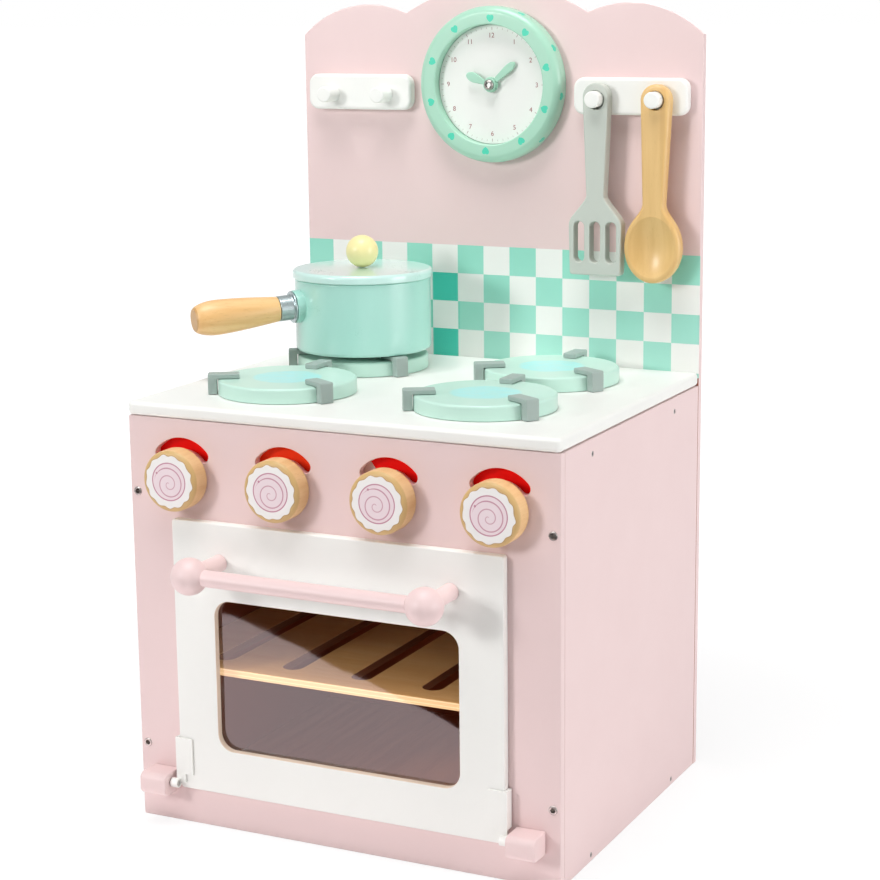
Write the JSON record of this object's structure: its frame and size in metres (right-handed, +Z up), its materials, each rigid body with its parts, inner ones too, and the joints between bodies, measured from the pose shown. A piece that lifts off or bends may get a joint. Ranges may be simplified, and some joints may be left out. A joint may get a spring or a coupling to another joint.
{
  "type": "toy oven",
  "caption": "Wooden toy oven with a drop-down windowed door, knobs, a hob, a tall back board with a clock and hook rails, a lidded saucepan and hanging utensils.",
  "frame": {"origin": "middle of the rectangle that the cabinet covers on the floor", "axes": "+Z up along the back board, +X to the right seen from the front, -Y towards the child: the door and the knobs face -Y"},
  "size_m": [0.3045, 0.2973, 0.537],
  "materials": {
    "pink_paint": "satin pink paint on board",
    "white_paint": "satin white paint on board",
    "mint_paint": "satin mint paint on turned wood",
    "pale_mint_paint": "satin pale mint paint on board",
    "grey_paint": "satin grey paint on wood",
    "silver_paint": "satin silver-grey paint on wood",
    "yellow_paint": "gloss pale yellow paint on a turned ball",
    "red_paint": "satin red paint on plywood",
    "beech": "clear satin lacquer on beech",
    "plywood": "bare sanded plywood",
    "smoked_acrylic": "clear gloss, smoked brown",
    "white_plastic": "moulded, glossy",
    "steel": "plated, worn satin"
  },
  "bodies": {
    "root": {"base_panel": "pink_paint", "front_panel": "pink_paint", "back_board": "pink_paint", "worktop": "white_paint", "oven_shelf": "plywood", "clock_ring": "mint_paint", "clock_face": "white_paint", "clock_screw": "steel", "side_panel_left": "pink_paint", "worktop_batten_left": "plywood", "shelf_batten_left": "plywood", "hinge_bracket_left": "pink_paint", "hinge_pin_left": "steel", "hook_rail_left": "white_paint", "side_panel_right": "pink_paint", "worktop_batten_right": "plywood", "shelf_batten_right": "plywood", "hinge_bracket_right": "pink_paint", "hinge_pin_right": "steel", "hook_rail_right": "white_paint", "burner_front_left": "pale_mint_paint", "pan_support_front_left_1": "grey_paint", "pan_support_front_left_2": "grey_paint", "pan_support_front_left_3": "grey_paint", "burner_front_right": "pale_mint_paint", "pan_support_front_right_1": "grey_paint", "pan_support_front_right_2": "grey_paint", "pan_support_front_right_3": "grey_paint", "burner_rear_left": "pale_mint_paint", "pan_support_rear_left_1": "grey_paint", "pan_support_rear_left_2": "grey_paint", "pan_support_rear_left_3": "grey_paint", "burner_rear_right": "pale_mint_paint", "pan_support_rear_right_1": "grey_paint", "pan_support_rear_right_2": "grey_paint", "pan_support_rear_right_3": "grey_paint"},
    "door": {"door_panel": "white_paint", "window_pane": "smoked_acrylic", "door_handle_bar": "pink_paint", "door_handle_post_left": "pink_paint", "door_handle_post_right": "pink_paint", "door_corner_clip_left": "white_plastic", "door_corner_clip_right": "white_plastic"},
    "knob_1": {"knob_1": "beech", "indicator_1": "red_paint"},
    "knob_2": {"knob_2": "beech", "indicator_2": "red_paint"},
    "knob_3": {"knob_3": "beech", "indicator_3": "red_paint"},
    "knob_4": {"knob_4": "beech", "indicator_4": "red_paint"},
    "hour_hand": {"hour_hand": "mint_paint"},
    "minute_hand": {"minute_hand": "mint_paint"},
    "pan": {"pan_body": "mint_paint", "pan_ferrule": "grey_paint", "pan_handle": "beech"},
    "lid": {"pan_lid": "mint_paint", "lid_knob": "yellow_paint"},
    "spatula": {"spatula": "silver_paint"},
    "spoon": {"spoon": "beech"}
  },
  "joints": [
    {"name": "door_hinge", "type": "hinge", "parent": "root", "child": "door", "pos_m": [0, -0.1324, 0.0301], "axis": [1, 0, 0], "range_deg": [0, 80]},
    {"name": "knob_1_turn", "type": "hinge", "parent": "root", "child": "knob_1", "pos_m": [-0.1108, -0.1226, 0.2328], "axis": [0, -1, 0], "continuous": true},
    {"name": "knob_2_turn", "type": "hinge", "parent": "root", "child": "knob_2", "pos_m": [-0.0369, -0.1226, 0.2328], "axis": [0, -1, 0], "continuous": true},
    {"name": "knob_3_turn", "type": "hinge", "parent": "root", "child": "knob_3", "pos_m": [0.0369, -0.1226, 0.2328], "axis": [0, -1, 0], "continuous": true},
    {"name": "knob_4_turn", "type": "hinge", "parent": "root", "child": "knob_4", "pos_m": [0.1108, -0.1226, 0.2328], "axis": [0, -1, 0], "continuous": true},
    {"name": "hour_hand_turn", "type": "hinge", "parent": "root", "child": "hour_hand", "pos_m": [0, 0.107, 0.47], "axis": [0, -1, 0], "continuous": true},
    {"name": "minute_hand_turn", "type": "hinge", "parent": "root", "child": "minute_hand", "pos_m": [0, 0.107, 0.47], "axis": [0, -1, 0], "continuous": true},
    {"name": "pan_lift", "type": "slide", "parent": "root", "child": "pan", "axis": [0, 0, 1], "range_m": [0, 0.06]},
    {"name": "lid_lift", "type": "slide", "parent": "pan", "child": "lid", "axis": [0, 0, 1], "range_m": [0, 0.04]},
    {"name": "spatula_unhook", "type": "slide", "parent": "root", "child": "spatula", "axis": [0, -1, 0], "range_m": [0, 0.03]},
    {"name": "spoon_unhook", "type": "slide", "parent": "root", "child": "spoon", "axis": [0, -1, 0], "range_m": [0, 0.03]}
  ]
}
